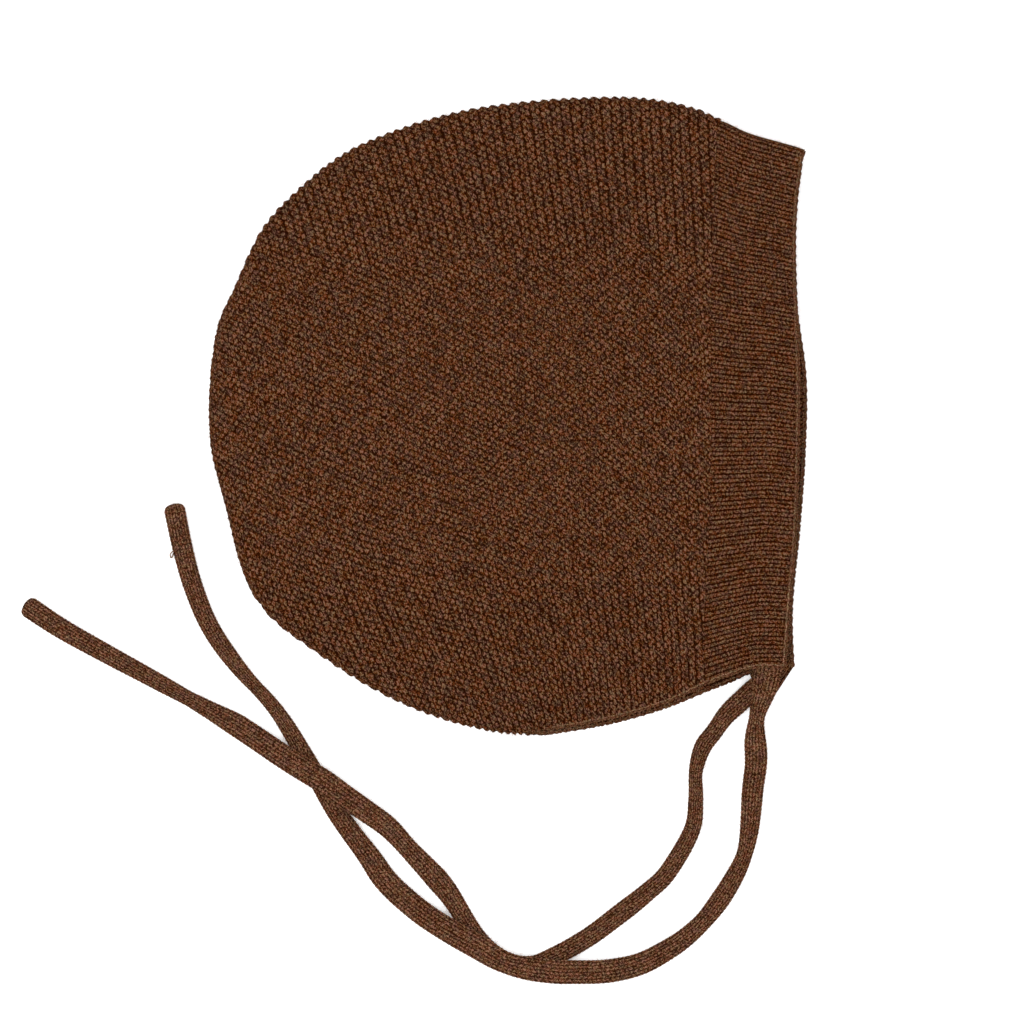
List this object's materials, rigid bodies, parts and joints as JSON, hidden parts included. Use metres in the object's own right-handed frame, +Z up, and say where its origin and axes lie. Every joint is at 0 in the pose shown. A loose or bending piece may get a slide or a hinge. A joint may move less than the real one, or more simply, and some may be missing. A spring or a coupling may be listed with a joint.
{
  "type": "baby bonnet",
  "caption": "Soft knitted baby bonnet lying on its side, with a hollow folded crown, a ribbed band round the face opening and long flat knitted ties that fasten under the chin.",
  "frame": {"origin": "on the surface that the bonnet lies on, under the middle of the box round the crown and the band, without the ties", "axes": "+X towards the face opening, +Y towards the top of the head, +Z up from the surface"},
  "size_m": [0.2352, 0.2655, 0.0175],
  "materials": {
    "crown": "matt brown wool, moss stitch",
    "front_band": "matt brown wool, fine rib",
    "ties": "matt brown wool, plain stitch"
  },
  "bodies": {
    "root": {"crown": "crown", "front_band": "front_band", "upper_tie": "ties", "lower_tie": "ties"}
  },
  "joints": []
}
